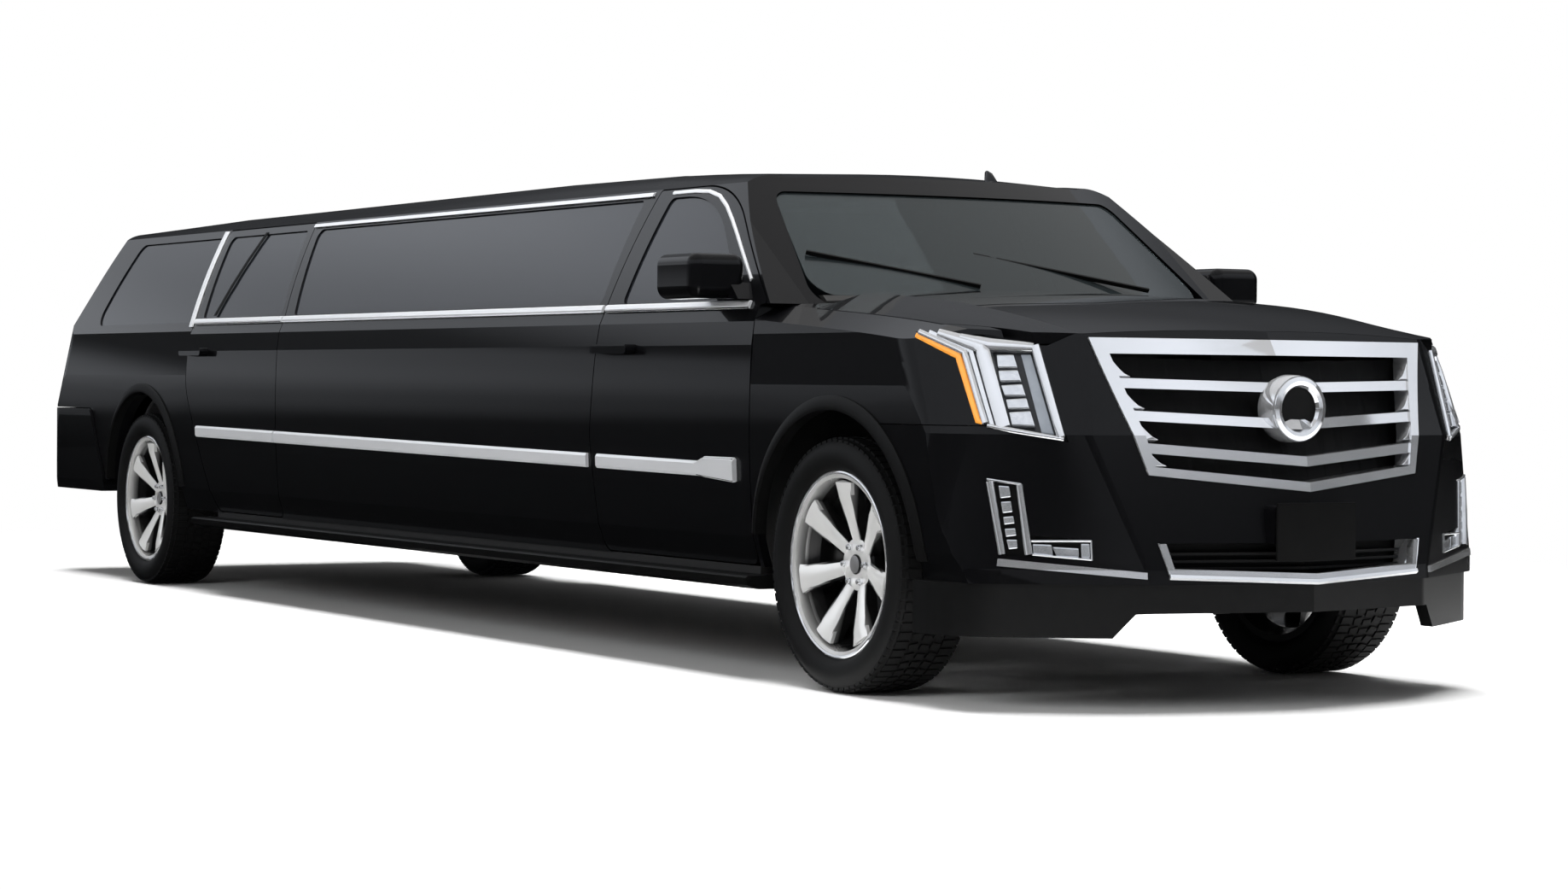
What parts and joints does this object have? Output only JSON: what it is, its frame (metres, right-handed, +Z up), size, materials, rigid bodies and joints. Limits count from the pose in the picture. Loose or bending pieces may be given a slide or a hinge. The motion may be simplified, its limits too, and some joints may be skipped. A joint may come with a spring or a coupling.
{
  "type": "stretch limousine",
  "caption": "Long stretched sport-utility limousine with opening doors, hood and tailgate, steered front wheels and a lounge cabin.",
  "frame": {"origin": "on the ground under the middle of the car's length and width", "axes": "+X to the front, +Y to the car's left, +Z up"},
  "size_m": [8.9086, 2.36, 1.7617],
  "materials": {
    "body_paint": "gloss black",
    "bright": "polished",
    "glass": "dark tint",
    "lamp_glass": "clear lens",
    "tail_lamp_glass": "red lens",
    "frame_paint": "satin black",
    "cast": "raw",
    "engine_alloy": "cast",
    "pipe_steel": "dull",
    "polished_alloy": "polished",
    "tyre": "matt",
    "black_plastic": "grained",
    "leather": "soft",
    "carpet": "carpeted",
    "furniture": "lacquered"
  },
  "bodies": {
    "body": {"roof": "body_paint", "front_bumper": "body_paint", "rear_bumper": "body_paint", "stretch_panel_left": "body_paint", "stretch_panel_right": "body_paint", "quarter_panel_left": "body_paint", "quarter_panel_right": "body_paint", "front_fender_left": "body_paint", "front_fender_right": "body_paint", "grille": "bright", "side_bright_trim": "bright", "windscreen": "glass", "fixed_side_glass": "glass", "front_lamps": "lamp_glass", "tail_lamps": "tail_lamp_glass", "ladder_frame": "frame_paint", "cross_members": "frame_paint", "front_bulkhead": "frame_paint", "rocker_sills": "frame_paint", "engine_bay": "frame_paint", "front_suspension": "frame_paint", "seat_bases": "frame_paint", "rear_axle": "cast", "engine": "engine_alloy", "exhaust": "pipe_steel", "propeller_shaft": "pipe_steel", "running_boards": "black_plastic", "dashboard": "black_plastic", "air_dam": "black_plastic", "front_seats": "leather", "lounge_seats": "leather", "floor_pan": "carpet", "rear_floor": "carpet", "lounge_furniture": "furniture"},
    "front_door_left": {"front_door_left": "body_paint", "front_door_glass_left": "glass"},
    "rear_door_left": {"rear_door_left": "body_paint", "rear_door_glass_left": "glass"},
    "steered_hub_left": {"front_knuckle_left": "cast"},
    "front_road_wheel_left": {"front_wheel_left": "polished_alloy", "front_tyre_left": "tyre"},
    "rear_road_wheel_left": {"rear_wheel_left": "polished_alloy", "rear_tyre_left": "tyre"},
    "front_door_right": {"front_door_right": "body_paint", "front_door_glass_right": "glass"},
    "rear_door_right": {"rear_door_right": "body_paint", "rear_door_glass_right": "glass"},
    "steered_hub_right": {"front_knuckle_right": "cast"},
    "front_road_wheel_right": {"front_wheel_right": "polished_alloy", "front_tyre_right": "tyre"},
    "rear_road_wheel_right": {"rear_wheel_right": "polished_alloy", "rear_tyre_right": "tyre"},
    "hood": {"hood": "body_paint"},
    "tailgate": {"tailgate": "body_paint", "tailgate_glass": "glass"}
  },
  "joints": [
    {"name": "front_door_hinge_left", "type": "hinge", "parent": "body", "child": "front_door_left", "pos_m": [2.77, 1.022, 0.8], "axis": [0, 0, -1], "range_deg": [0, 65]},
    {"name": "rear_door_hinge_left", "type": "hinge", "parent": "body", "child": "rear_door_left", "pos_m": [-1.368, 1.022, 0.8], "axis": [0, 0, -1], "range_deg": [0, 65]},
    {"name": "steering_left", "type": "hinge", "parent": "body", "child": "steered_hub_left", "pos_m": [3.305, 0.7705, 0.405], "axis": [0, 0, 1], "range_deg": [-33, 33]},
    {"name": "front_wheel_spin_left", "type": "hinge", "parent": "steered_hub_left", "child": "front_road_wheel_left", "pos_m": [3.305, 0.8725, 0.405], "axis": [0, 1, 0], "continuous": true},
    {"name": "rear_wheel_spin_left", "type": "hinge", "parent": "body", "child": "rear_road_wheel_left", "pos_m": [-3.045, 0.8725, 0.405], "axis": [0, 1, 0], "continuous": true},
    {"name": "front_door_hinge_right", "type": "hinge", "parent": "body", "child": "front_door_right", "pos_m": [2.77, -1.022, 0.8], "axis": [0, 0, 1], "range_deg": [0, 65]},
    {"name": "rear_door_hinge_right", "type": "hinge", "parent": "body", "child": "rear_door_right", "pos_m": [-1.368, -1.022, 0.8], "axis": [0, 0, 1], "range_deg": [0, 65]},
    {"name": "steering_right", "type": "hinge", "parent": "body", "child": "steered_hub_right", "pos_m": [3.305, -0.7705, 0.405], "axis": [0, 0, 1], "range_deg": [-33, 33]},
    {"name": "front_wheel_spin_right", "type": "hinge", "parent": "steered_hub_right", "child": "front_road_wheel_right", "pos_m": [3.305, -0.8725, 0.405], "axis": [0, 1, 0], "continuous": true},
    {"name": "rear_wheel_spin_right", "type": "hinge", "parent": "body", "child": "rear_road_wheel_right", "pos_m": [-3.045, -0.8725, 0.405], "axis": [0, 1, 0], "continuous": true},
    {"name": "hood_hinge", "type": "hinge", "parent": "body", "child": "hood", "pos_m": [3.03, 0, 1.255], "axis": [0, -1, 0], "range_deg": [0, 50]},
    {"name": "tailgate_hinge", "type": "hinge", "parent": "body", "child": "tailgate", "pos_m": [-4.073, 0, 1.662], "axis": [0, 1, 0], "range_deg": [0, 85]}
  ],
  "couplings": [
    {"joint": "steering_right", "follows": "steering_left", "ratio": 1}
  ]
}
